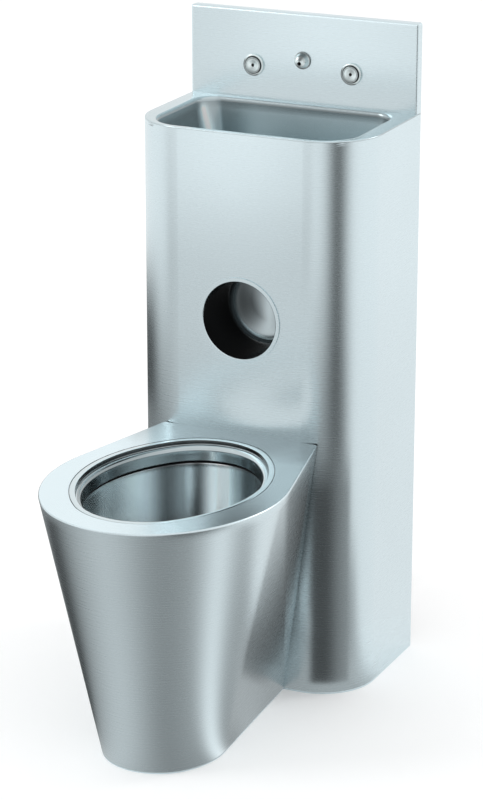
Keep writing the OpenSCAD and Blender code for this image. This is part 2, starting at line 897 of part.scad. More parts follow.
module flush_route(r, over) {
    top = button_z - valve_r - seat;
    b = pipe_bend_r;
    end_y = ring_mid_y + ring_l / 2 + channel_out + seat;
    translate([button_x, pipe_y, flush_z + b]) cylinder(r = r, h = top - flush_z - b + over);
    translate([button_x - b, pipe_y, flush_z + b]) rotate([90, 0, 0]) rotate([0, 0, -90])
        rotate_extrude(angle = 90) translate([b, 0]) circle(r);
    translate([b, pipe_y, flush_z]) rotate([0, 90, 0]) cylinder(r = r, h = button_x - 2 * b);
    translate([b, pipe_y - b, flush_z]) rotate([0, 0, 90])
        rotate_extrude(angle = 90) translate([b, 0]) circle(r);
    translate([0, end_y - over, flush_z]) along_y(r, pipe_y - b - end_y + over);
}

module flush_pipe() {
    color(nickel) difference() {
        flush_route(pipe_r, 0);
        flush_route(pipe_r - pipe_wall, cut);
    }
}

module flush_union() {
    color(nickel) difference() {
        translate([button_x, pipe_y, button_z - valve_r - union_flush_l])
            ring(union_flush_r, pipe_r + running, union_flush_l + valve_r / 2);
        translate([button_x, -valve_l, button_z]) along_y(valve_r + running, 2 * valve_l);
    }
}

module flush_seal() {
    start = ring_mid_y + ring_l / 2 + channel_out;
    color(rubber) translate([0, start, flush_z]) rotate([-90, 0, 0]) {
        ring(stub_r - sheet_t - running, pipe_r + running, stub_l - sheet_t);
        translate([0, 0, stub_l - sheet_t]) ring(stub_r + sheet_t, pipe_r + running, 2 * sheet_t);
    }
}

module waste_body() {
    color(satin) translate([0, waste_y, sump_z - waste_l]) difference() {
        union() {
            cylinder(r = waste_r - seat, h = waste_l);
            translate([0, 0, waste_l]) cylinder(r = waste_flange_r, h = waste_flange_t);
        }
        translate([0, 0, -cut]) cylinder(r = waste_r - waste_wall, h = waste_l + 2 * cut + waste_flange_t);
    }
}

module basin_strainer() {
    color(satin) translate([0, waste_y, sump_z]) difference() {
        cylinder(r = waste_r - waste_wall - running, h = waste_flange_t);
        translate([0, 0, -cut]) {
            cylinder(r = grid_r, h = waste_flange_t + 2 * cut);
            for (g = grid_rings, i = [0:g[0] - 1])
                rotate([0, 0, 360 * i / g[0]])
                    translate([g[1], 0, 0]) cylinder(r = grid_r, h = waste_flange_t + 2 * cut);
        }
    }
}

module waste_gasket() {
    color(rubber) translate([0, waste_y, sump_z - sheet_t - gasket_t])
        ring(waste_flange_r, waste_r, gasket_t);
}

module waste_nut() {
    color(nickel) translate([0, waste_y, sump_z - sheet_t - gasket_t - waste_nut_h])
        hex_nut(2 * waste_nut_r * cos(30), waste_r, waste_nut_h);
}

module drain_lower(r, over) {
    trap_lower(r, waste_y, drain_top + drain_in, drain_low, drain_bend_r, 0, drain_rise_top,
        over, over);
}

module drain_upper(r, over) {
    y = waste_y + 2 * drain_bend_r;
    translate([0, y, drain_rise_top - over]) cylinder(r = r, h = drain_neck + over);
    trap_turn(r, y, drain_bend_r, drain_out_z);
    translate([0, y + drain_bend_r, drain_out_z]) along_y(r, wall_pass - y - drain_bend_r + over);
}

module trap_bend() {
    color(dull) difference() {
        drain_lower(drain_r, 0);
        drain_lower(drain_r - drain_wall, cut);
    }
}

module trap_arm() {
    color(dull) difference() {
        drain_upper(drain_r, 0);
        drain_upper(drain_r - drain_wall, cut);
    }
}

module trap_top_nut() {
    color(nickel) translate([0, waste_y, drain_top - union_lip]) difference() {
        cylinder(r = union_r, h = union_h);
        translate([0, 0, -cut]) cylinder(r = drain_r + seat, h = union_h + 2 * cut);
        translate([0, 0, union_lip]) cylinder(r = waste_r, h = union_h);
    }
}

module trap_middle_nut() {
    color(nickel) translate([0, waste_y + 2 * drain_bend_r, drain_rise_top - union_h / 2])
        ring(union_r, drain_r + seat, union_h / 2 + union_lip);
}

// Angle with its hole towards the room, against the side wall and the back flange
module wall_bracket(s, z) {
    inner = column_w / 2 - sheet_t;
    w = back_flange - sheet_t + bracket_in;
    color(dull) translate([s * inner, -sheet_t, z]) difference() {
        union() {
            translate([-s * w / 2, -bracket_t / 2, 0])
                cube([w, bracket_t, bracket_h], center = true);
            translate([-s * bracket_t / 2, -bracket_leg / 2, 0])
                cube([bracket_t, bracket_leg, bracket_h], center = true);
        }
        translate([s * (sheet_t - back_flange - hole_inset), -bracket_t - cut, 0])
            along_y(bolt_hole_r, bracket_t + 2 * cut);
    }
}

// Angle on the foot flange, with its hole clear of the flange
module floor_bracket(s) {
    inner = column_w / 2 - sheet_t;
    w = foot_flange - sheet_t + bracket_in;
    color(dull) translate([s * inner, floor_y, sheet_t]) difference() {
        union() {
            translate([-s * w / 2, 0, bracket_t / 2])
                cube([w, floor_w, bracket_t], center = true);
            translate([-s * bracket_t / 2, 0, floor_leg / 2])
                cube([bracket_t, floor_w, floor_leg], center = true);
        }
        translate([s * (sheet_t - foot_flange - hole_inset), 0, -cut])
            cylinder(r = bolt_hole_r, h = bracket_t + 2 * cut);
    }
}

// Stiffening plate behind the column's front, with a fold along each side
module backing_plate() {
    w = column_w - 2 * corner_r;
    color(dull) difference() {
        translate([-w / 2, column_y + sheet_t, plate_h0]) difference() {
            cube([w, plate_side, plate_h1 - plate_h0]);
            translate([bracket_t, bracket_t, -cut])
                cube([w - 2 * bracket_t, plate_side, plate_h1 - plate_h0 + 2 * cut]);
        }
        stud_holes(plate_side);
    }
}

module pan_bolts() {
    color(nickel) for (p = stud_places) translate([p[0], column_y - sheet_t, p[1]]) {
        translate([0, -head_h, 0]) rotate([-90, 0, 0])
            cylinder(r = head_across / 2 / cos(30), h = head_h, $fn = 6);
        along_y(stud_r, stud_l);
    }
}

module pan_nuts() {
    color(nickel) for (p = stud_places)
        translate([p[0], column_y + sheet_t + bracket_t, p[1]]) rotate([-90, 0, 0]) {
            ring(washer_r, stud_r + running, washer_t);
            translate([0, 0, washer_t]) hex_nut(head_across, stud_r + running, head_h);
        }
}

// Moves the unit so that its box stands centred on the origin
module place() {
    translate([0, origin_shift, 0]) children();
}

place() column_casing();
place() basin();
place() splash_panel();
place() roll_recess();
place() pan_skirt();
place() pan_plate();
place() rim_ring();
place() flush_channel();
place() pan_bowl();
place() bowl_sump();
place() pan_trap();
place() trap_clamp();
place() outlet_spigot();
place() bezel(-1);  // left_bezel
place() bezel(1);  // right_bezel
place() button(-1);  // left_button
place() button(1);  // right_button
place() plug(-1);  // left_plug
place() plug(1);  // right_plug
place() spring(-1);  // left_spring
place() spring(1);  // right_spring
place() valve(-1, port_r);  // left_valve
place() valve(1, pipe_r - pipe_wall);  // right_valve
place() lock_nut(-1);  // left_lock_nut
place() lock_nut(1);  // right_lock_nut
place() spout();
place() spout_nut();
place() supply_pipe();
place() flush_pipe();
place() flush_union();
place() flush_seal();
place() waste_body();
place() basin_strainer();
place() waste_gasket();
place() waste_nut();
place() trap_bend();
place() trap_arm();
place() trap_top_nut();
place() trap_middle_nut();
place() wall_bracket(-1, upper_z);  // upper_left_bracket
place() wall_bracket(1, upper_z);  // upper_right_bracket
place() wall_bracket(-1, lower_z);  // lower_left_bracket
place() wall_bracket(1, lower_z);  // lower_right_bracket
place() floor_bracket(-1);  // left_floor_bracket
place() floor_bracket(1);  // right_floor_bracket
place() backing_plate();
place() pan_bolts();
place() pan_nuts();
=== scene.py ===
import json
import math
import bpy
import bmesh
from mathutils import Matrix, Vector


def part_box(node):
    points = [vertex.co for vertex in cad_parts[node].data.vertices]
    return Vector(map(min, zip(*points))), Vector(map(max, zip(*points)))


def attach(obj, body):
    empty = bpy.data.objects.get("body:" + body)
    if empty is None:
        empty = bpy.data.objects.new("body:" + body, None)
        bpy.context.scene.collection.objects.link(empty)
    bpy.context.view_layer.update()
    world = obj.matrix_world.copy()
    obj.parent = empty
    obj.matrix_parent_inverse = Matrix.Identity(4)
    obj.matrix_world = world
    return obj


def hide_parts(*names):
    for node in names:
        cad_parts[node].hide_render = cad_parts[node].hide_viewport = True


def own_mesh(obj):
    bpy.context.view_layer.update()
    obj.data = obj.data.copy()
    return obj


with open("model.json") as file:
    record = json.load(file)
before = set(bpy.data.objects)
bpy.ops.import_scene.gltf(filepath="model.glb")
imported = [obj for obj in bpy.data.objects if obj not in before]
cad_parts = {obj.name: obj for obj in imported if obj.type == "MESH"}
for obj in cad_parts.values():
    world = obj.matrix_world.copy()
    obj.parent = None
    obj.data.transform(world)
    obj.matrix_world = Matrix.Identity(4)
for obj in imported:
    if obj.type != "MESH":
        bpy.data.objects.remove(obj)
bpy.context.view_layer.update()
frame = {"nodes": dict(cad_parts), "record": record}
scene = bpy.context.scene
scene.view_settings.view_transform = "Standard"
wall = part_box("column_casing")[1][1]


def linked(name, data):
    """Adds an object to the scene."""
    o = bpy.data.objects.new(name, data)
    scene.collection.objects.link(o)
    return o


# camera: the photo's own view, from a camera fitted to the unit's outline
AZIMUTH = math.radians(25.21)
ELEVATION = math.radians(18.47)
DISTANCE = 4.6296
FOCAL_PIXELS = 2949.6
PHOTO_HEIGHT = 800
SENSOR = 36
AIM_FROM_WALL = 0.2
AIM_HEIGHT = 0.5
AIM_RIGHT = -0.0178
AIM_UP = -0.0374

level_part = math.cos(ELEVATION)
back = Vector((math.sin(AZIMUTH) * level_part, -math.cos(AZIMUTH) * level_part, math.sin(ELEVATION)))
right = Vector((math.cos(AZIMUTH), math.sin(AZIMUTH), 0))
up = back.cross(right)
aim = Vector((0, wall - AIM_FROM_WALL, AIM_HEIGHT))
lens = bpy.data.cameras.new("camera")
lens.sensor_fit = "AUTO"
lens.sensor_width = SENSOR
lens.lens = FOCAL_PIXELS / PHOTO_HEIGHT * SENSOR
lens.clip_end = 100
camera = linked("camera", lens)
camera.location = aim + back * DISTANCE + right * AIM_RIGHT + up * AIM_UP
camera.rotation_euler = back.to_track_quat("Z", "Y").to_euler()
scene.camera = camera

# materials

# sockets of a Mix node that mixes colours
MIX_SHARE = 0
MIX_A = 6
MIX_B = 7
MIX_RESULT = 2


def node_tree(name):
    """A new material, its tree and its shader."""
    m = bpy.data.materials.new(name)
    m.use_nodes = True
    t = m.node_tree
    return m, t, t.nodes["Principled BSDF"]


def metal(name, color, rough, spread, aniso, grain, tangent, relief=0.004, mottle=0.03):
    """Brushed metal. Its roughness is rough, give or take spread. grain gives the noise's scale
    along each axis, low along the brushing, and mottle is the slow change of its colour."""
    m, t, b = node_tree(name)
    n, l = t.nodes, t.links
    b.inputs["Metallic"].default_value = 1
    b.inputs["Anisotropic"].default_value = aniso
    co = n.new("ShaderNodeTexCoord")
    mp = n.new("ShaderNodeMapping")
    mp.inputs["Scale"].default_value = grain
    l.new(co.outputs["Object"], mp.inputs["Vector"])
    fine = n.new("ShaderNodeTexNoise")
    fine.inputs["Scale"].default_value = 1
    fine.inputs["Detail"].default_value = 4
    fine.inputs["Roughness"].default_value = 0.65
    l.new(mp.outputs["Vector"], fine.inputs["Vector"])
    cloud = n.new("ShaderNodeTexNoise")
    cloud.inputs["Scale"].default_value = 7
    cloud.inputs["Detail"].default_value = 3
    l.new(co.outputs["Object"], cloud.inputs["Vector"])
    rr = n.new("ShaderNodeMapRange")
    rr.inputs["To Min"].default_value = rough - spread
    rr.inputs["To Max"].default_value = rough + spread
    l.new(fine.outputs["Fac"], rr.inputs["Value"])
    l.new(rr.outputs["Result"], b.inputs["Roughness"])
    mix = n.new("ShaderNodeMix")
    mix.data_type = "RGBA"
    mix.inputs[MIX_A].default_value = [c * (1 - mottle) for c in color] + [1]
    mix.inputs[MIX_B].default_value = [min(1, c * (1 + mottle)) for c in color] + [1]
    l.new(cloud.outputs["Fac"], mix.inputs[MIX_SHARE])
    l.new(mix.outputs[MIX_RESULT], b.inputs["Base Color"])
    bp = n.new("ShaderNodeBump")
    bp.inputs["Strength"].default_value = relief
    bp.inputs["Distance"].default_value = 0.001
    l.new(fine.outputs["Fac"], bp.inputs["Height"])
    l.new(bp.outputs["Normal"], b.inputs["Normal"])
    if tangent:
        tg = n.new("ShaderNodeTangent")
        tg.direction_type = "RADIAL"
        tg.axis = tangent
        l.new(tg.outputs["Tangent"], b.inputs["Tangent"])
    return m


STEEL = [0.645, 0.745, 0.78]
upright = metal("satin_upright", STEEL, 0.27, 0.022, 0.45, (18, 18, 1300), "Z")
top_steel = metal("satin_top", STEEL, 0.25, 0.03, 0.2, (18, 1300, 1300), None)
bowl_steel = metal("satin_bowl", [0.80, 0.93, 0.97], 0.22, 0.03, 0.4, (30, 30, 1100), "Z", 0.006)
pan_steel = metal("satin_pan_bowl", [0.85, 0.93, 0.96], 0.22, 0.03, 0.4, (30, 30, 1100), "Z", 0.006)
cap_steel = metal("satin_cup_end", STEEL, 0.24, 0.03, 0.0, (200, 200, 200), None)
rolled = metal("rolled_edge", [0.70, 0.80, 0.83], 0.15, 0.02, 0.3, (30, 30, 900), "Z", 0.004)
# painted shade: near black walls for the recess, which stand for the shade inside it
cup_wall_painted_shade = metal("painted_shade_cup_wall", [0.06, 0.07, 0.075], 0.2, 0.04, 0.4, (60, 500, 60), "Y", 0.012)
# painted shade: a near black metal that stands for the shade inside holes, bores and gaps
painted_shade_dark = metal("painted_bore_shade", [0.02, 0.02, 0.022], 0.6, 0.05, 0.0, (60, 60, 60), None)
cup_steel = metal("satin_cup", STEEL, 0.22, 0.04, 0.4, (60, 500, 60), "Y", 0.012)
polished = metal("satin_turned", [0.66, 0.74, 0.75], 0.2, 0.03, 0.8, (60, 60, 60), "Y", 0.004)
inner = metal("mill_steel", [0.42, 0.46, 0.47], 0.42, 0.06, 0.0, (60, 60, 60), None, 0.05, 0.1)
bright = metal("bright_steel", [0.66, 0.67, 0.66], 0.18, 0.05, 0.0, (200, 200, 200), None)
plated = metal("nickel_plate", [0.62, 0.59, 0.53], 0.16, 0.05, 0.0, (150, 150, 150), None, 0.03)


def show_painted_light(*materials):
    """Lets the painted light and shade that a mesh holds at each point lighten or darken its metal."""
    for m in materials:
        t = m.node_tree
        socket = t.nodes["Principled BSDF"].inputs["Base Color"]
        plain = socket.links[0].from_socket
        att = t.nodes.new("ShaderNodeAttribute")
        att.attribute_name = "paint_light_and_shade"
        scale = t.nodes.new("ShaderNodeVectorMath")
        scale.operation = "SCALE"
        t.links.new(plain, scale.inputs[0])
        t.links.new(att.outputs["Fac"], scale.inputs["Scale"])
        t.links.new(scale.outputs[0], socket)


# these metals show painted light and shade from each mesh's per-point attribute
show_painted_light(top_steel, bowl_steel, pan_steel, rolled, cap_steel, polished)


def matt_rubber(name):
    """Matt black with a fine mottle."""
    m, t, b = node_tree(name)
    b.inputs["Roughness"].default_value = 0.75
    noise = t.nodes.new("ShaderNodeTexNoise")
    noise.inputs["Scale"].default_value = 300
    ramp = t.nodes.new("ShaderNodeMapRange")
    ramp.inputs["To Min"].default_value = 0.02
    ramp.inputs["To Max"].default_value = 0.05
    t.links.new(noise.outputs["Fac"], ramp.inputs["Value"])
    t.links.new(ramp.outputs["Result"], b.inputs["Base Color"])
    return m


rubber = matt_rubber("black_rubber")
finish = {"satin_steel": upright, "inner_steel": inner, "bright_steel": bright,
          "plated_brass": plated, "black_rubber": rubber}
for part in frame["record"]["subparts"]:
    for s in frame["nodes"][part["node"]].material_slots:
        s.material = finish[part["material_slot"]]

# main sizes in millimetres. Places along y count from the wall, and the room is on the minus side.
SHEET = 2.0
RIM = 900.0
COL_W = 390.0
COL_D = 250.0
CORNER = 90.0
PAN = round(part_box("pan_plate")[1][2] * 1000, 3)
RING_W = 290.0
RING_L = 394.0
RING_R = 112.0
RING_BACK = 36.0
RING_Y = -COL_D - RING_BACK - RING_L / 2
SIDES = ("left", "right")


def at(x, y, z):
    """A place in the frame's metres from one in the unit's millimetres."""
    return Vector((x / 1000, y / 1000 + wall, z / 1000))


def arc(cx, cy, r, a0, a1, n):
    """Points along an arc from a0 to a1 degrees."""
    return [(cx + r * math.cos(math.radians(a0 + (a1 - a0) * i / n)),
             cy + r * math.sin(math.radians(a0 + (a1 - a0) * i / n))) for i in range(n + 1)]


def circle(r, n):
    """Points round a circle about the origin."""
    return [(r * math.cos(2 * math.pi * i / n), r * math.sin(2 * math.pi * i / n)) for i in range(n)]


def middle(node):
    """The middle of a CAD node as seen from the room, in millimetres."""
    lo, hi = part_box(node)
    return (lo[0] + hi[0]) * 500, (lo[2] + hi[2]) * 500


# tools for meshes
def piece(name, bm, material, slot, *nodes, body="unit", angle=32):
    """Turns a bmesh into a finished piece with smooth faces and sharp creases."""
    bmesh.ops.remove_doubles(bm, verts=bm.verts, dist=2e-6)
    bmesh.ops.recalc_face_normals(bm, faces=bm.faces)
    me = bpy.data.meshes.new(name)
    bm.normal_update()
    limit = math.radians(angle)
    for f in bm.faces:
        f.smooth = True
    for e in bm.edges:
        if len(e.link_faces) == 2 and e.calc_face_angle(0) > limit:
            e.smooth = False
    bm.to_mesh(me)
    bm.free()
    me.materials.append(material)
    o = linked(name, me)
    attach(o, body)
    if nodes:
        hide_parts(*nodes)
    return o


def bump(x, centre, width):
    """A smooth bump of height 1 at an angle, in degrees."""
    d = (x - centre + 180) % 360 - 180
    return math.exp(-(d / width) ** 2)


def peak(x, centre, width):
    """A smooth bump of height 1 at a place."""
    return math.exp(-((x - centre) / width) ** 2)


def step(x, a, b):
    """0 up to a, 1 from b on, and smooth between them."""
    t = min(1, max(0, (x - a) / (b - a)))
    return t * t * (3 - 2 * t)


def paint_light_and_shade(o, rule, centre=(0, 0, 0)):
    """Sets each point's painted light and shade by a rule of its place and of the azimuth that its face
    looks to, which is 0 towards the room and 90 to the right."""
    table = o.data.attributes.new("paint_light_and_shade", "FLOAT", "POINT")
    for v in o.data.vertices:
        n = v.normal if v.normal.dot(Vector(centre) - v.co) > 0 else -v.normal
        table.data[v.index].value = rule(v.co, math.degrees(math.atan2(n.x, -n.y)))


def refinish(o, material, chosen):
    """Gives the chosen faces of a piece another material."""
    o.data.materials.append(material)
    k = len(o.data.materials) - 1
    for f in o.data.polygons:
        if chosen(f):
            f.material_index = k


def skin(bm, rows, closed=True):
    """Joins rows of points into quads. Rows have the same length."""
    vs = [[bm.verts.new(p) for p in row] for row in rows]
    n = len(rows[0])
    for a, b in zip(vs, vs[1:]):
        for i in range(n if closed else n - 1):
            j = (i + 1) % n
            bm.faces.new((a[i], a[j], b[j], b[i]))
    return vs


def cap(bm, loop):
    """Closes a loop of vertices with a fan round its middle."""
    m = bm.verts.new(sum((v.co for v in loop), Vector()) / len(loop))
    for i in range(len(loop)):
        bm.faces.new((loop[i], loop[(i + 1) % len(loop)], m))


def fill(bm, loops):
    """Fills the flat area between the loops of vertices."""
    edges = []
    for loop in loops:
        for i in range(len(loop)):
            a, b = loop[i], loop[(i + 1) % len(loop)]
            edges.append(bm.edges.get((a, b)) or bm.edges.new((a, b)))
    bmesh.ops.triangle_fill(bm, use_beauty=True, use_dissolve=False, edges=edges)


def thicken(o, t, offset):
    """Gives a sheet its thickness in millimetres."""
    m = o.modifiers.new("sheet", "SOLIDIFY")
    m.thickness = t / 1000
    m.offset = offset
    m.use_even_offset = True
    m.use_quality_normals = True


def flank(half_w, half_l, end_r):
    """Radius of an oval's side arcs, from its half width, its half length and its end radius."""
    return ((half_l - end_r) ** 2 + half_w * half_w - end_r * end_r) / (2 * (half_w - end_r))


def oval(inset, n=40):
    """Points round the ring's four-centred oval, drawn in by inset."""
    side_r = flank(RING_W / 2, RING_L / 2, RING_R)
    side_x = side_r - RING_W / 2
    end_y = RING_L / 2 - RING_R
    meet = math.degrees(math.atan2(end_y, side_x))
    out = []
    for cx, cy, r, a0, a1 in ((-side_x, 0, side_r, -meet, meet),
                              (0, end_y, RING_R, meet, 180 - meet),
                              (side_x, 0, side_r, 180 - meet, 180 + meet),
                              (0, -end_y, RING_R, 180 + meet, 360 - meet)):
        out += arc(cx, cy + RING_Y, r - inset, a0, a1, n)[:-1]
    return out


# pan: one folded shell of skirt and top, with a fillet along its edge
FILLET = 3.0
FILLET_ROWS = 6
SKIRT_ROWS = 26
NOSE_STEPS = 72
LEAN_STEPS = 6
ROOT_STEPS_TOP = 6
ROOT_STEPS_FOOT = 4

# width, width at the column, y of the widest line, length of the nose, and radius of the nose
PAN_SHAPE = (368.0, 266.0, -503.0, 217.0, 165.0)
FOOT_SHAPE = (190.0, 156.0, -512.0, 110.0, 88.0)


def nosed(shape, inset=0.0):
    """A rule for a nosed outline's points by the direction that they face, its right root corner,
    and the direction that its side faces where it runs straight to that corner."""
    width, root, mid, nose, nose_r = shape
    side_r = flank(width / 2, nose, nose_r)
    side_x = side_r - width / 2
    meet = math.degrees(math.atan2(nose - nose_r, side_x))
    run = -COL_D - mid
    reach = root / 2 + side_x
    lean = math.degrees(math.atan2(run, reach) - math.acos(side_r / math.hypot(run, reach)))

    def point(facing):
        """The point that faces this way, where 0 is towards the room and 90 to the right."""
        t = facing - 90
        if t < -meet:
            a = math.radians(facing)
            r = nose_r - inset
            return r * math.sin(a), mid - nose + nose_r - r * math.cos(a)
        a = math.radians(min(t, lean))
        r = side_r - inset
        return r * math.cos(a) - side_x, mid + r * math.sin(a)

    corner = (root / 2 - inset / math.cos(math.radians(lean)), -COL_D)
    return point, corner, 90 + lean


def along(start, end, n):
    """n points from start to end, without the start."""
    return [(start[0] + (end[0] - start[0]) * i / n, start[1] + (end[1] - start[1]) * i / n)
            for i in range(1, n + 1)]


def pan_columns(top_inset=0.0):
    """Pairs of points, top and foot, that face the same way, from the left root round to the right.
    The foot's side turns straight first, and the top turns a little further."""
    top_at, top_corner, top_turn = nosed(PAN_SHAPE, top_inset)
    foot_at, foot_corner, foot_turn = nosed(FOOT_SHAPE)
    turns = [foot_turn * i / NOSE_STEPS for i in range(NOSE_STEPS + 1)]
    cols = [(top_at(a), foot_at(a)) for a in turns]
    cols += [(top_at(foot_turn), q) for q in along(foot_at(foot_turn), foot_corner, ROOT_STEPS_FOOT)]
    turns = [foot_turn + (top_turn - foot_turn) * i / LEAN_STEPS for i in range(1, LEAN_STEPS + 1)]
    cols += [(top_at(a), foot_corner) for a in turns]
    cols += [(q, foot_corner) for q in along(top_at(top_turn), top_corner, ROOT_STEPS_TOP)]
    left = [((-a[0], a[1]), (-b[0], b[1])) for a, b in reversed(cols[1:])]
    return left + cols


def along_column(points, n=24):
    """Closes a nosed outline along the column's front, in n steps."""
    x0 = points[-1][0]
    x1 = points[0][0]
    return points + [(x0 + (x1 - x0) * i / n, -COL_D) for i in range(1, n)]


def by_angle(loop, angles):
    """Points of a dense loop at the given angles about the ring's middle."""
    at_angle = sorted((math.atan2(y - RING_Y, x), x, y) for x, y in loop)
    out = []
    for a in angles:
        k = next((i for i, q in enumerate(at_angle) if q[0] >= a), 0)
        (a0, x0, y0), (a1, x1, y1) = at_angle[k - 1], at_angle[k]
        f = ((a - a0) % (2 * math.pi)) / max(1e-9, (a1 - a0) % (2 * math.pi))
        out.append((x0 + (x1 - x0) * f, y0 + (y1 - y0) * f))
    return out


def on_skirt(a, b, share):
    """The point at a share of the way up the skirt's line from its foot b to its top a."""
    return b[0] + (a[0] - b[0]) * share, b[1] + (a[1] - b[1]) * share


bm = bmesh.new()
rows = []
cols = pan_columns()
for k in range(SKIRT_ROWS + 1):
    z = (PAN - FILLET) * (k / SKIRT_ROWS)
    rows.append([at(*on_skirt(a, b, z / (PAN - SHEET)), z) for a, b in cols])
for k in range(1, FILLET_ROWS + 1):
    t = math.radians(90 * k / FILLET_ROWS)
    fade = 1 - k / FILLET_ROWS
    row = []
    for (a, b), (a0, b0) in zip(pan_columns(FILLET * (1 - math.cos(t))), cols):
        base = on_skirt(a0, b0, (PAN - FILLET) / (PAN - SHEET))
        shift = (a0[0] - base[0], a0[1] - base[1])
        row.append(at(a[0] - shift[0] * fade, a[1] - shift[1] * fade, PAN - FILLET * (1 - math.sin(t))))
    rows.append(row)
skin(bm, rows, closed=False)
top = along_column([a for a, b in pan_columns(FILLET)])
inner_top = along_column([a for a, b in pan_columns(FILLET + 1)])
joint = by_angle(oval(0, 200), [math.atan2(y - RING_Y, x) for x, y in inner_top])
skin(bm, [[at(x, y, PAN) for x, y in loop] for loop in (top, inner_top, joint)]
     + [[at(x, y, PAN - SHEET) for x, y in joint]])
shell = piece("pan_shell", bm, upright, "satin_steel", "pan_skirt", "pan_plate", angle=40)
refinish(shell, top_steel, lambda f: f.normal.z > 0.97 or f.center.z > (PAN - 0.4) / 1000)


def plate_painted_light(c, phi):
    """Painted light: a painted reflection keeps the plate pale at its left, and painted shade
    darkens it at its right and along the column.
    """
    return 1.2 - 0.42 * step(c.x + 0.45 * (c.y + 0.15), -0.13, 0.12) - 0.3 * step(c.y, -0.03, 0.03)


# painted reflection and painted shade on the pan's top
paint_light_and_shade(shell, plate_painted_light)

# rim ring: flush flange, a step down to a rolled edge, and a collar
SEAM = 1.3
UNDERSIDE = PAN - SHEET - 0.6
COLLAR = 20
COLLAR_L = 14.8
COLLAR_ROWS = 4
BEAD_X = 11.8
BEAD_Z = PAN - 15.2
BEAD_R = 8.2


def bead(radius, angles):
    """Points round the rolled edge, by their angle from straight up."""
    return [(BEAD_X + radius * math.sin(math.radians(a)), BEAD_Z + radius * math.cos(math.radians(a)))
            for a in angles]


def collar(inset, rows):
    """Points on the collar at the rows that are given, which count down its length."""
    return [(inset, BEAD_Z - COLLAR_L * k / COLLAR_ROWS) for k in rows]


# (inset, z) points: up the seam, over the flange, down the step, round the edge, and back inside
section = [(SEAM, UNDERSIDE), (SEAM, PAN - 0.6), (1.5, PAN - 0.2), (2.0, PAN - 0.05), (5, PAN), (8.6, PAN),
           (9.4, PAN - 0.15), (9.9, PAN - 0.6), (10.1, PAN - 1.3), (10.2, PAN - 3.6), (10.3, PAN - 6)]
section += bead(BEAD_R, range(-6, 91, 6))
section += collar(COLLAR, (1, 2, 3, 4))
section += [(19.6, PAN - 30.6), (18.7, PAN - 30.8), (18.1, PAN - 30.3)]
section += collar(COLLAR - SHEET, (3, 2, 1, 0))
section += bead(BEAD_R - SHEET, range(84, -1, -12))
section += [(8.4, BEAD_Z + BEAD_R - SHEET), (8.4, UNDERSIDE), (SEAM, UNDERSIDE)]
bm = bmesh.new()
skin(bm, [[at(x, y, z) for x, y in oval(inset)] for inset, z in section])
ring = piece("rim_roll", bm, rolled, "satin_steel", "rim_ring")


def in_seam(f):
    """Whether a face of the ring looks into the joint round its flange."""
    across = f.center.x / ((RING_W / 2 - SEAM) / 1000)
    lengthwise = (f.center.y - wall - RING_Y / 1000) / ((RING_L / 2 - SEAM) / 1000)
    outermost = math.hypot(across, lengthwise) > 0.995
    return outermost and f.center.z < (PAN - 0.55) / 1000 and abs(f.normal.z) < 0.5


# painted shade: the faces in the joint round the flange are near black
refinish(ring, painted_shade_dark, in_seam)


def ring_painted_light(c, phi):
    """Painted light: a pale flange, painted shade on the step, a mid rolled edge, and a collar
    in painted shade with a few soft painted reflection streaks.
    """
    if c.z > (PAN - 0.4) / 1000:
        return 0.95
    if c.z > (PAN - 6.2) / 1000:
        return 0.1
    fall = step(BEAD_Z / 1000 - c.z, -0.0015, 0.002)
    band = (0.26 + 0.5 * bump(phi, 8, 6) + 0.24 * bump(phi, -32, 8) + 0.25 * bump(phi, 62, 10)
            + 0.2 * bump(phi, 100, 16) + 0.22 * bump(phi, -70, 14))
    edge = 0.7 - 0.25 * step(phi, 40, 80) + 0.35 * bump(phi, -60, 25) - 0.2 * step(-phi, 110, 150)
    return edge + (band - edge) * fall


# painted light and painted shade on the rim ring
paint_light_and_shade(ring, ring_painted_light, at(0, RING_Y, PAN))

# bowl of the pan, from its round well up to its oval mouth under the ring
WELL_R = 48.0
WELL_Y = -430
WELL_Z = 142
SUMP_Z = 130
MOUTH_INSET = 15
END_SHARE = 0.98
CHANNEL = PAN - 2 * SHEET - 64
BOWL_ROWS = 36
BOWL_POINTS = 144


def bowl_ring(share, grow=0.0):
    """Points round the bowl, where share 0 is its well and 1 its mouth."""
    wide = math.sin(math.radians(90 * share))
    half_w = WELL_R + (RING_W / 2 - MOUTH_INSET - WELL_R) * wide + grow
    half_l = WELL_R + (RING_L / 2 - MOUTH_INSET - WELL_R) * wide + grow
    end_r = (WELL_R + (RING_R - MOUTH_INSET - WELL_R) * wide) * END_SHARE + grow
    mid = WELL_Y + (RING_Y - WELL_Y) * wide
    side_r = flank(half_w, half_l, end_r)
    side_x = side_r - half_w
    end_y = half_l - end_r
    meet = math.atan2(end_y, side_x)
    points = []
    for k in range(BOWL_POINTS):
        t = 2 * math.pi * (k + 0.5) / BOWL_POINTS
        x = math.cos(t)
        y = math.sin(t)
        if abs(y) <= math.sin(meet):
            points.append((side_r * x - math.copysign(side_x, x), mid + side_r * y))
        else:
            points.append((end_r * x, mid + end_r * y + math.copysign(end_y, y)))
    return points


def bowl_row(share, z, grow=0.0):
    """A ring of the bowl at a height."""
    return [at(x, y, z) for x, y in bowl_ring(share, grow)]


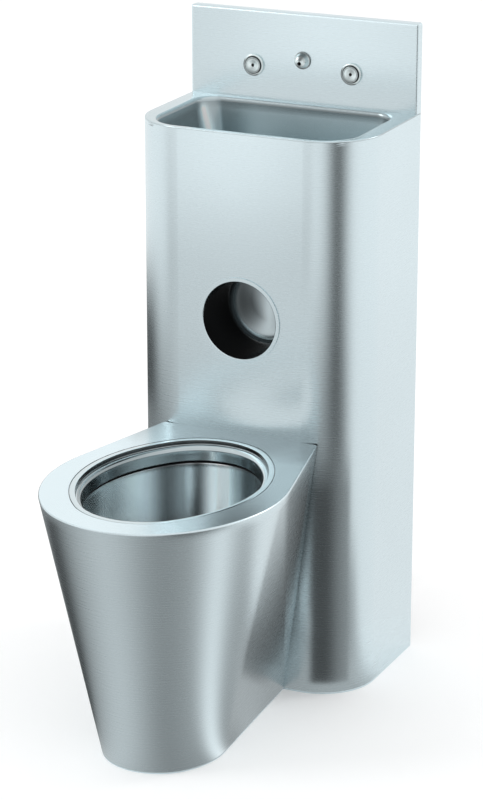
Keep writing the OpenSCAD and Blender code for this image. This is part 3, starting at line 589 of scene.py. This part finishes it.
rows = [bowl_row(0, SUMP_Z)]
for i in range(BOWL_ROWS + 1):
    share = i / BOWL_ROWS
    rows.append(bowl_row(share, WELL_Z + (CHANNEL - WELL_Z) * share))
rows += [bowl_row(1, z) for z in (CHANNEL + 12, CHANNEL + 24, PAN - 36)]
rows += [bowl_row(1, PAN - 35.3, 0.4), bowl_row(1, PAN - 35, 1.0)]
bm = bmesh.new()
skin(bm, rows)
bowl = piece("pan_bowl_pressing", bm, pan_steel, "satin_steel", "pan_bowl", "bowl_sump")
# painted shade: the bowl's top lip is near black, so the gap under the ring's collar reads dark
refinish(bowl, painted_shade_dark, lambda f: f.center.z > (PAN - 36.5) / 1000)


def pan_bowl_painted_reflection(c, phi):
    """Painted reflections: soft upright streaks round the bowl's rear, and a pale left wall."""
    return max(0.14, 0.74 + 0.32 * step(phi, 54, 66) - 0.55 * bump(phi, 51, 6) - 0.3 * bump(phi, 41, 5)
               - 0.58 * bump(phi, 27, 7) + 0.1 * bump(phi, 14, 5) + 0.7 * bump(phi, 1, 8)
               - 0.1 * bump(phi, -11, 5) - 0.35 * bump(phi, -27, 12))


# painted reflections on the pan's bowl
paint_light_and_shade(bowl, pan_bowl_painted_reflection, at(0, WELL_Y, 300))
thicken(bowl, 1.6, 1)

# basin: deck with a folded edge, rolled mouth, pressed bowl and dished floor with a drain
HALF = COL_W / 2 - 28
REAR = -30.0
FRONT = -COL_D + 12
FLOOR = RIM - 130
DRAIN_Y = -105
DRAIN_R = 33
LIP_W = 5
LIP_H = 6
LIP_STEPS = 7
WALL_IN = 16.2
WALL_STEPS = 8
HEEL_W = 20
HEEL_H = 26
HEEL_STEPS = 8
DISH_FALL = 1.2
DISH_STEPS = 12


def rounded(y0, y1, half, r0, r1, n=14):
    """Four cornered loop: r0 at y0 (the wall side), r1 at y1 (the room side)."""
    out = []
    for cx, cy, r, a0 in ((half - r1, y1 + r1, r1, 270), (half - r0, y0 - r0, r0, 0),
                          (r0 - half, y0 - r0, r0, 90), (r1 - half, y1 + r1, r1, 180)):
        out += arc(cx, cy, r, a0, a0 + 90, n)
    return out


def column_loop(inset, n=20):
    """The column's outline, drawn in by inset except along the wall."""
    h = COL_W / 2
    return ([(h - inset, 0)] + [(-h + inset, 0)]
            + arc(CORNER - h, CORNER - COL_D, CORNER - inset, 180, 270, n)
            + arc(h - CORNER, CORNER - COL_D, CORNER - inset, 270, 360, n))


def bowl_loop(inset):
    """The wash bowl's outline, drawn in by inset at its sides and by less at its front and rear."""
    rear_r = 34 - inset * 0.12
    front_r = 58 - inset * 0.33
    return rounded(REAR - inset * 0.7, FRONT + inset * 0.6, HALF - inset, rear_r, front_r)


bm = bmesh.new()
folded = ((1.4, 2.2), (1.0, 2.0), (0.05, 1.9), (0.0, 1.4), (0.25, 0.6), (0.8, 0.12), (1.6, 0.0))
deck = skin(bm, [[at(x, y, RIM - drop) for x, y in column_loop(inset)] for inset, drop in folded])
section = []
for k in range(LIP_STEPS + 1):
    t = math.radians(90 * k / LIP_STEPS)
    section.append((-LIP_W + LIP_W * math.sin(t), RIM - LIP_H * (1 - math.cos(t))))
for k in range(1, WALL_STEPS + 1):
    fall = (RIM - LIP_H - FLOOR - HEEL_H) * k / WALL_STEPS
    section.append((WALL_IN * k / WALL_STEPS, RIM - LIP_H - fall))
for k in range(1, HEEL_STEPS + 1):
    t = math.radians(90 * k / HEEL_STEPS)
    section.append((WALL_IN + HEEL_W * (1 - math.cos(t)), FLOOR + HEEL_H * (1 - math.sin(t))))
walls = skin(bm, [[at(x, y, z) for x, y in bowl_loop(inset)] for inset, z in section])
fill(bm, [deck[-1], walls[0]])
last = bowl_loop(section[-1][0])
angles = [math.atan2(y - DRAIN_Y, x) for x, y in last]


def drain_ring(r, drop):
    """Points round the drain at a radius and at a drop under the floor."""
    return [at(r * math.cos(a), DRAIN_Y + r * math.sin(a), FLOOR - drop) for a in angles]


rows = []
for k in range(1, DISH_STEPS + 1):
    s = k / DISH_STEPS
    w = s ** 0.8
    rows.append([at(x + (DRAIN_R * math.cos(a) - x) * w, y + (DRAIN_Y + DRAIN_R * math.sin(a) - y) * w,
                    FLOOR - DISH_FALL * s) for (x, y), a in zip(last, angles)])
sunk = ((31.6, 1.3), (30.6, 2.0), (30, 3.4), (29.2, 4.5), (27.6, 5), (20.2, 5.2))
rows += [drain_ring(r, drop) for r, drop in sunk]
loops = [walls[-1]] + [[bm.verts.new(p) for p in row] for row in rows]
for a, b in zip(loops, loops[1:]):
    for i in range(len(last)):
        j = (i + 1) % len(last)
        bm.faces.new((a[i], a[j], b[j], b[i]))
basin = piece("basin_pressing", bm, bowl_steel, "satin_steel", "basin", angle=38)


def basin_painted_light(c, phi):
    """Painted light: a mid deck with painted shade along its rear and at its right, painted reflection
    streaks down the bowl's walls, strongest near its left rear corner, and a painted highlight across its
    floor.
    """
    if c.z > (RIM - 7) / 1000:
        rear = step(c.y - wall, -0.045, -0.03) * step(0.15 - abs(c.x), 0, 0.02)
        side_fall = 0.94 - 0.16 * step(c.x, 0.02, 0.15) * step(c.y - wall, -0.22, -0.17)
        return (0.66 + 0.12 * step(c.z, (RIM - 2) / 1000, RIM / 1000)) * (1 - 0.35 * rear) * side_fall
    deep = (RIM / 1000 - c.z) / 0.13
    upright_share = step(c.z, (FLOOR + 2) / 1000, (FLOOR + 30) / 1000)
    band = (0.74 + 0.12 * step(c.x, -0.1, 0.14) + 0.62 * bump(phi, 62 - 40 * deep, 12)
            - 0.42 * bump(phi, 86, 16) + 0.2 * bump(phi, 128, 14)
            - 0.26 * bump(phi, -34, 7) + 0.3 * bump(phi, -52, 8) - 0.3 * bump(phi, -74, 8))
    low = 0.68 + 0.3 * peak(c.x + 0.3 * (c.y - wall + 0.1), -0.065, 0.03)
    return low + (band - low) * upright_share


# painted light and painted shade on the basin
paint_light_and_shade(basin, basin_painted_light, at(0, DRAIN_Y, RIM))
thicken(basin, 1.4, -1)

# recess for the roll: a flat flange, a straight wall, and a rounded end
CUP_R = 63
CUP_Z = 605
CUP_ROUND = 28
CUP_LIP = 1.2
CUP_WALL = 94
FLANGE_R = 66.9
FLANGE_PROUD = 0.15
WALL_FROM = 0.0008
END_FROM = 0.1045


def into(c):
    """How far a place is behind the column's front, in metres."""
    return c.y - wall + COL_D / 1000


# (radius, depth) points, from the flange in
section = [(FLANGE_R, 0), (FLANGE_R, -FLANGE_PROUD), (63.4, -FLANGE_PROUD), (63.15, 0.1), (CUP_R, 0.6)]
section += [(CUP_R, CUP_LIP + (CUP_WALL - CUP_LIP) * k / 10) for k in range(11)]
section += [(CUP_R - CUP_ROUND + x, CUP_WALL + y) for x, y in arc(0, 0, CUP_ROUND, 0, 90, 30)[1:]]
section += [(28, 122), (18, 122.1), (8, 122.2)]
bm = bmesh.new()
loops = skin(bm, [[at(x, -COL_D + d, CUP_Z + z) for x, z in circle(r, 96)] for r, d in section])
cap(bm, loops[-1])
recess = piece("roll_cup", bm, cup_steel, "satin_steel", "roll_recess")
# painted shade: the recess's walls take the near black metal
refinish(recess, cup_wall_painted_shade, lambda f: WALL_FROM < into(f.center) < END_FROM)
refinish(recess, cap_steel, lambda f: into(f.center) >= END_FROM)
refinish(recess, upright, lambda f: into(f.center) < 0 and f.normal.y < -0.8)


def cup_end_painted_light(c, phi):
    """Painted light: the recess's end is in painted shade at its left and pale at its right,
    with a painted highlight line round its edge.
    """
    line = peak(into(c), 0.1075, 0.0016) * step(c.x, -0.06, -0.03)
    return 0.16 + 0.7 * step(c.x, -0.054, -0.002) + 0.7 * line


# painted shade and a painted highlight on the recess's end
paint_light_and_shade(recess, cup_end_painted_light)
thicken(recess, 1.5, -1)

# push buttons, bezels, springs and nozzle
PANEL = -16.0
TURNED_SIDES = 64
COIL_R = 8.0
WIRE_R = 0.6
COIL_TURNS = 4
TURN_STEPS = 20
WIRE_SIDES = 10
HOLE_R = 2.45
HOLE_END = 3

# (radius, y) points, where y counts from the panel's face and the room is on the minus side
BEZEL = [(17.4, 0), (17.5, -0.4), (17.5, -2.6), (17.2, -3.5), (16.6, -4.1), (15.8, -4.4), (15, -4.35),
         (14.4, -4.1), (13.9, -3.5), (13.5, -2.6), (13.3, -0.4), (13.4, 0), (17.4, 0)]
BUTTON = [(4, 40), (4, 6), (12.6, 6), (13, 5.6), (13, -5.0), (12.8, -5.6), (12.4, -5.95), (11.9, -6.05),
          (11.5, -6.0), (11.25, -5.65), (10.95, -5.6), (10.7, -5.9), (10.3, -6.0), (7, -5.7), (3.6, -5.4),
          (2.6, -5.3), (2.15, -5.1), (2, -4.6), (2, -1.2)]
DOME_R = 17
DOME_Y = 3
NOZZLE = [(10.4, 54), (10.4, 0.02), (13.7, 0), (14, -0.3), (14, -1.9), (13.7, -2.4), (13.1, -2.6),
          (12.4, -2.7), (12.0, -3.2), (11.4, -5), (10.2, -8), (9.2, -10.8)]
for d in (-11.7, -12.2, -12.8, -13.3, -13.7, -13.93):
    NOZZLE.append((math.sqrt(DOME_R ** 2 - (d - DOME_Y) ** 2), d))

# the hole that the water leaves by
JET_R = 3.2
JET_OUT = -20
JET_FALL = -5.8
JET_UP = Vector((0, 0, 0.0012))
JET_AXIS = Vector((0, JET_OUT, JET_FALL)).normalized()


def turned(name, section, place, material, *nodes, body="unit", closed=False):
    """A piece turned about the y axis through its place, from (radius, y) points."""
    bm = bmesh.new()
    rows = [[Vector((x, d, z)) / 1000 for x, z in circle(r, TURNED_SIDES)] for r, d in section]
    loops = skin(bm, rows)
    if not closed:
        cap(bm, loops[0])
        cap(bm, loops[-1])
    o = piece(name, bm, material, "satin_steel", *nodes, body=body, angle=30)
    o.location = at(*place)
    return o


def carve(o, cutter):
    """Cuts one mesh by another and throws the cutter away."""
    m = o.modifiers.new("cut", "BOOLEAN")
    m.operation = "DIFFERENCE"
    m.solver = "EXACT"
    m.object = cutter
    bpy.context.view_layer.update()
    me = bpy.data.meshes.new_from_object(o.evaluated_get(bpy.context.evaluated_depsgraph_get()))
    o.modifiers.clear()
    o.data = me
    bpy.data.objects.remove(cutter)


def bezel_painted_shade(c, phi):
    """Painted shade: the bezel's outer slope darkens towards its lower left, and its inner slope by the
    button is dark.
    """
    r = math.hypot(c.x, c.z) * 1000
    low = -(c.x + c.z) * 1000 / 17.5
    if r > 15.4:
        return 1 - 0.9 * step(low, 0.05, 0.6)
    return 0.9 if r > 14.6 else 0.35


def button_cap_painted_light(c, phi):
    """Painted shade in the groove and at the edge, and a painted reflection that keeps the face
    pale along one line and darker across it.
    """
    r = math.hypot(c.x, c.z) * 1000
    if r > 12.2 or 10.6 < r < 11.35:
        return 0.4
    return 0.86 + 0.22 * math.cos(2 * math.atan2(c.z, c.x) + 0.6)


def nozzle_painted_reflection(c, phi):
    """Painted reflections: a collar that is pale only at its left, and a dome with two pale sides and a
    dark top.
    """
    turn = math.atan2(c.z, c.x)
    if math.hypot(c.x, c.z) * 1000 > 12.7:
        return 0.3 + 0.5 * step(c.x, -0.006, -0.013)
    return max(0.25, 0.72 + 0.4 * math.cos(2 * turn + 0.5) - 0.3 * bump(math.degrees(turn), 80, 28))


def return_spring(side):
    """A wire spring in the valve, coiled evenly along its node's length."""
    lo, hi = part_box(side + "_spring")
    x, z = middle(side + "_spring")
    start = lo[1] * 1000 + WIRE_R
    rise = (hi[1] - lo[1]) * 1000 - 2 * WIRE_R
    steps = TURN_STEPS * COIL_TURNS
    rows = []
    for i in range(steps + 1):
        turn = 2 * math.pi * i / TURN_STEPS
        row = []
        for out, along_axis in circle(WIRE_R, WIRE_SIDES):
            r = COIL_R + out
            y = start + rise * i / steps + along_axis
            row.append(Vector((x + r * math.cos(turn), y, z + r * math.sin(turn))) / 1000)
        rows.append(row)
    bm = bmesh.new()
    loops = skin(bm, rows)
    cap(bm, loops[0])
    cap(bm, loops[-1])
    o = piece(side + "_return_spring", bm, bright, "bright_steel", side + "_spring")
    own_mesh(o)


def in_hole(f):
    """Whether a face of a button's cap lines the hole in its middle."""
    return math.hypot(f.center.x, f.center.z) < HOLE_R / 1000 and f.center.y < HOLE_END / 1000


def push_button(side):
    """A bezel that stays on the panel, and a button that travels in it."""
    x, z = middle(side + "_button")
    o = turned(side + "_bezel_ring", BEZEL, (x, PANEL, z), polished, side + "_bezel", closed=True)
    # painted shade on the bezel
    paint_light_and_shade(o, bezel_painted_shade)
    button = side + "_button"
    o = turned(button + "_cap", BUTTON, (x, PANEL, z), polished, button, body=button)
    # painted shade: the hole in the button's middle is near black inside
    refinish(o, painted_shade_dark, in_hole)
    # painted shade and a painted reflection on the button's cap
    paint_light_and_shade(o, button_cap_painted_light)


def in_jet(f):
    """Whether a face of the nozzle lines the hole that its water leaves by."""
    d = f.center - JET_UP
    run = d.dot(JET_AXIS)
    return (d - JET_AXIS * run).length < JET_R / 1000 + 0.00002 and run < 0.0125


for side in SIDES:
    return_spring(side)
    push_button(side)
x, z = middle("spout_nut")
nozzle = turned("spout_nozzle", NOZZLE, (x, PANEL, z), polished, "spout")
bm = bmesh.new()
loops = skin(bm, [[Vector((dx, JET_OUT * k, dz + JET_FALL * k)) / 1000 + JET_UP
                   for dx, dz in circle(JET_R, 32)] for k in range(2)])
cap(bm, loops[0])
cap(bm, loops[1])
bmesh.ops.recalc_face_normals(bm, faces=bm.faces)
me = bpy.data.meshes.new("drill")
bm.to_mesh(me)
bm.free()
drill = linked("drill", me)
drill.location = at(x, PANEL, z)
carve(nozzle, drill)
# painted shade: the nozzle's hole is near black inside
refinish(nozzle, painted_shade_dark, in_jet)
# painted reflections on the nozzle
paint_light_and_shade(nozzle, nozzle_painted_reflection)

# stage: the floor, the world and what each kind of ray sees of them
FLOOR_HALF = 12
FLOOR_VALUE = 0.92
FLOOR_GLOW = 0.14
WORLD_LIGHT = 0.95


def stage_floor(name, half, material):
    """A square floor of the studio."""
    me = bpy.data.meshes.new(name)
    corners = [(-half, -half, 0), (half, -half, 0), (half, half, 0), (-half, half, 0)]
    me.from_pydata(corners, [], [(0, 1, 2, 3)])
    o = linked(name, me)
    me.materials.append(material)


def seen_by_eye(t, low, high):
    """high for camera, glossy and transmission rays, and low for the light on the object."""
    path = t.nodes.new("ShaderNodeLightPath")
    total = path.outputs["Is Camera Ray"]
    for ray in ("Is Glossy Ray", "Is Transmission Ray"):
        add = t.nodes.new("ShaderNodeMath")
        add.operation = "ADD"
        add.use_clamp = True
        t.links.new(total, add.inputs[0])
        t.links.new(path.outputs[ray], add.inputs[1])
        total = add.outputs[0]
    strength = t.nodes.new("ShaderNodeMapRange")
    strength.inputs["To Min"].default_value = low
    strength.inputs["To Max"].default_value = high
    t.links.new(total, strength.inputs["Value"])
    return strength.outputs["Result"]


def white_floor(name):
    """Matt white, with a little glow that doesn't light the object."""
    m, t, b = node_tree(name)
    b.inputs["Base Color"].default_value = (FLOOR_VALUE, FLOOR_VALUE, FLOOR_VALUE, 1)
    b.inputs["Roughness"].default_value = 0.8
    b.inputs["Emission Color"].default_value = (1, 1, 1, 1)
    t.links.new(seen_by_eye(t, 0.0, FLOOR_GLOW), b.inputs["Emission Strength"])
    return m


def white_world(name):
    """A white world that lights the object a little less than it shows."""
    world = bpy.data.worlds.new(name)
    scene.world = world
    world.use_nodes = True
    t = world.node_tree
    background = t.nodes["Background"]
    background.inputs["Color"].default_value = (1, 1, 1, 1)
    t.links.new(seen_by_eye(t, WORLD_LIGHT, 1.0), background.inputs["Strength"])


stage_floor("floor", FLOOR_HALF, white_floor("floor_white"))
white_world("world")

# cards: soft patches that only the metal's reflections see; those out in the studio are flags and soft
# lights, and those close round the column's corner and inside the recess, the pan and the basin are
# painted reflections and painted shade
CORNER_POLE = (0.105, 0.17)
LEFT_POLE = (-0.105, 0.17)
PAN_POLE = (0, -0.19)
MOUTH_ROWS = 12


def card_glow(name):
    """A glow as bright as a card's level, which fades out with its cover."""
    m = bpy.data.materials.new(name)
    m.use_nodes = True
    t = m.node_tree
    t.nodes.clear()
    out = t.nodes.new("ShaderNodeOutputMaterial")
    mix = t.nodes.new("ShaderNodeMixShader")
    clear = t.nodes.new("ShaderNodeBsdfTransparent")
    glow = t.nodes.new("ShaderNodeEmission")
    glow.inputs["Color"].default_value = (1, 1, 1, 1)
    for key, socket in (("cover", mix.inputs[0]), ("level", glow.inputs["Strength"])):
        att = t.nodes.new("ShaderNodeAttribute")
        att.attribute_name = key
        t.links.new(att.outputs["Fac"], socket)
    t.links.new(clear.outputs[0], mix.inputs[1])
    t.links.new(glow.outputs[0], mix.inputs[2])
    t.links.new(mix.outputs[0], out.inputs["Surface"])
    return m


def card(name, across, down, place, cover, level):
    """A card over a grid of two values. Rules of these give each point's place, how much of the
    card is there, and its brightness there, where 1 is white."""
    bm = bmesh.new()
    grid = [[bm.verts.new(place(u, v)) for u in across] for v in down]
    for a, b in zip(grid, grid[1:]):
        for i in range(len(a) - 1):
            bm.faces.new((a[i], a[i + 1], b[i + 1], b[i]))
    me = bpy.data.meshes.new(name)
    bm.to_mesh(me)
    bm.free()
    for key, rule in (("cover", cover), ("level", level)):
        values = me.attributes.new(key, "FLOAT", "POINT")
        for i, (u, v) in enumerate((u, v) for v in down for u in across):
            values.data[i].value = rule(u, v)
    o = linked(name, me)
    me.materials.append(card_glow(name))
    o.visible_camera = False
    o.visible_diffuse = False
    o.visible_transmission = False
    o.visible_volume_scatter = False
    o.visible_shadow = False


def spread(start, length, n):
    """n + 1 values, evenly from start over length."""
    return [start + length * i / n for i in range(n + 1)]


def round_pole(pole, a, r, h):
    """A place round an upright pole, by its azimuth, radius and height."""
    return pole[0] + r * math.sin(math.radians(a)), pole[1] - r * math.cos(math.radians(a)), h


def floor_card(name, pole, height, radii, cover, level):
    """A flat card round a pole, by rules of the azimuth and the radius."""
    card(name, range(-180, 181, 3), radii, lambda a, r: round_pole(pole, a, r, height), cover, level)


def curtain(name, pole, radius, turns, heights, cover, level):
    """An upright card bent round a pole, by rules of the azimuth and the height."""
    card(name, turns, heights, lambda a, h: round_pole(pole, a, radius, h), cover, level)


def far_level(a, r):
    """Dark close by but for its right, white far off, and a dark wedge to the front right."""
    low = 0.25 + 0.40 * bump(a, -20, 30) + 0.75 * step(a, 55, 85)
    far = step(r, 1.4, 3.0)
    high = 1.08 - 0.25 * bump(a, -42, 12)
    return max(0.03, (low + (high - low) * far) * (1 - 0.97 * bump(a, 46, 17)))


def near_level(a, r):
    """Brightest at the pan's right, and dark at its left."""
    return max(0.05, 0.40 + 0.28 * bump(a, -22, 34) + 0.70 * bump(a, 90, 13) + 0.12 * bump(a, 142, 14)
               - 0.40 * bump(a, -100, 26) - 0.10 * bump(a, 30, 24))


def near_cover(a, r):
    """Fades out at its rim and towards the wall."""
    return step(1 - r, 0, 0.25) * step(0.42 + r * math.cos(math.radians(a)), 0, 0.12)


floor_card("card_floor_far", CORNER_POLE, 0.002, [0.3 + 6.7 * (i / 40) ** 1.4 for i in range(41)],
           lambda a, r: step(7 - r, 0, 1.5), far_level)
floor_card("card_floor_near", PAN_POLE, 0.003, spread(0.05, 0.95, 24), near_cover, near_level)

# a small dark flag close round the column's right corner, behind the pan: painted shade that stands for
# the shade in the corner between the pan and the column, as their reflections see it
curtain("card_corner", CORNER_POLE, 0.125, range(-4, 65, 2), spread(0.003, 0.415, 14),
        lambda a, h: 0.98 * step(a, 2, 14) * step(62 - a, 0, 5) * step(0.418 - h, 0, 0.1),
        lambda a, h: 0.07 + 0.22 * step(a, 26, 56))


def left_cover(a, h):
    """Fades slowly towards the room and upwards."""
    return 0.97 * step(a, -170, -160) * step(-60 - a, 0, 35) * step(h, 0.2, 0.24) * step(0.54 - h, 0, 0.2)


# a dark flag well off the column's left side, which its edge above the pan sees
curtain("card_left", LEFT_POLE, 0.7, range(-170, -59, 5), spread(0.2, 0.34, 12), left_cover,
        lambda a, h: 0.05)


def recess_reflection_card(name, depth, pale):
    """A round glowing card across the recess at a depth, a painted reflection. pale is how much of its
    pattern it shows.
    """
    def spot(a, r):
        """The x and z of a point from the recess's middle."""
        return r * math.cos(math.radians(a)), r * math.sin(math.radians(a))

    def place(a, r):
        """The point's place in the frame."""
        x, z = spot(a, r)
        return at(x, -COL_D + depth, CUP_Z + z)

    def level(a, r):
        """Dark at the lower left, with a brighter upright band near the middle."""
        x, z = spot(a, r)
        return 0.02 + pale * (0.06 + 0.5 * step(x + 0.4 * z, -62, -26) + 0.3 * peak(x, -14, 9))

    card(name, range(0, 361, 12), spread(0.4, 57.6, 8), place, lambda a, r: 0.97, level)


# painted reflections inside the recess: its end sees the pale card, and its walls the dark one, which is
# painted shade
recess_reflection_card("card_recess", 100, 1)
recess_reflection_card("card_recess_front", 98, 0)

# a painted reflection: a pale glowing card in the mouth of the pan, which the column sees
mouth = []
for k in range(MOUTH_ROWS):
    loop = oval(20.5 + 9 * (MOUTH_ROWS - 1 - k), 12)
    mouth.append(loop + loop[:1])
card("card_mouth", range(len(mouth[0])), range(MOUTH_ROWS), lambda i, k: at(*mouth[k][i], PAN - 5),
     lambda i, k: 0.92, lambda i, k: 0.95)


def basin_reflection_card(name, drop, glow):
    """A level glowing card in the mouth of the basin, a painted reflection, at a drop in metres under the
    rim.
    """
    card(name, (-0.168, -0.166, 0.166, 0.168), (-0.236, -0.14, -0.032),
         lambda x, y: (x, y + wall, RIM / 1000 - drop),
         lambda x, y: 0.97 if abs(x) < 0.167 else 0, lambda x, y: glow)


# painted reflections: a pale glowing card in the mouth of the basin, which the panel sees, and one under
# it for the bowl
basin_reflection_card("card_basin", 0.004, 0.86)
basin_reflection_card("card_basin_below", 0.007, 0.56)

# a dark upright flag past the column's right corner
curtain("card_upright", CORNER_POLE, 3.2, range(-10, 101, 3), spread(0.003, 2.4, 12),
        lambda a, h: 0.95 * bump(a, 46, 16) * (1 - ((h - 0.003) / 2.4) ** 2), lambda a, h: 0.03)

# a pale card before the column and panel, brightest along its middle
FRONT_TURN = math.radians(-25)
FRONT_MIDDLE = Vector((0, 0.1, 0)) + Vector((math.sin(FRONT_TURN), -math.cos(FRONT_TURN), 0)) * 0.75
FRONT_RUN = Vector((math.cos(FRONT_TURN), math.sin(FRONT_TURN), 0))
card("card_front", spread(-0.45, 0.9, 30), spread(0.42, 0.8, 16),
     lambda x, h: FRONT_MIDDLE + FRONT_RUN * x + Vector((0, 0, h)),
     lambda x, h: step(0.45 - abs(x), 0, 0.12) * step(h, 0.42, 0.5) * step(1.22 - h, 0, 0.1),
     lambda x, h: (0.62 + 0.34 * step(h, 0.42, 0.72)) * (0.9 + 0.45 * peak(x, 0, 0.13)))


# lamps: a key from the front left and a rim light from behind on the right
def area(name, place, aim, w, h, power):
    """An area light at a place that looks at another."""
    d = bpy.data.lights.new(name, "AREA")
    d.shape = "RECTANGLE"
    d.size = w
    d.size_y = h
    d.energy = power
    o = linked(name, d)
    o.location = place
    o.rotation_euler = (Vector(place) - Vector(aim)).to_track_quat("Z", "Y").to_euler()


area("key", (-2.6, -2.2, 2.6), (0, 0, 0.5), 1.4, 2.2, 30)
area("rim", (2.4, 2.2, 2.2), (0, 0.1, 0.5), 1.0, 2.2, 20)
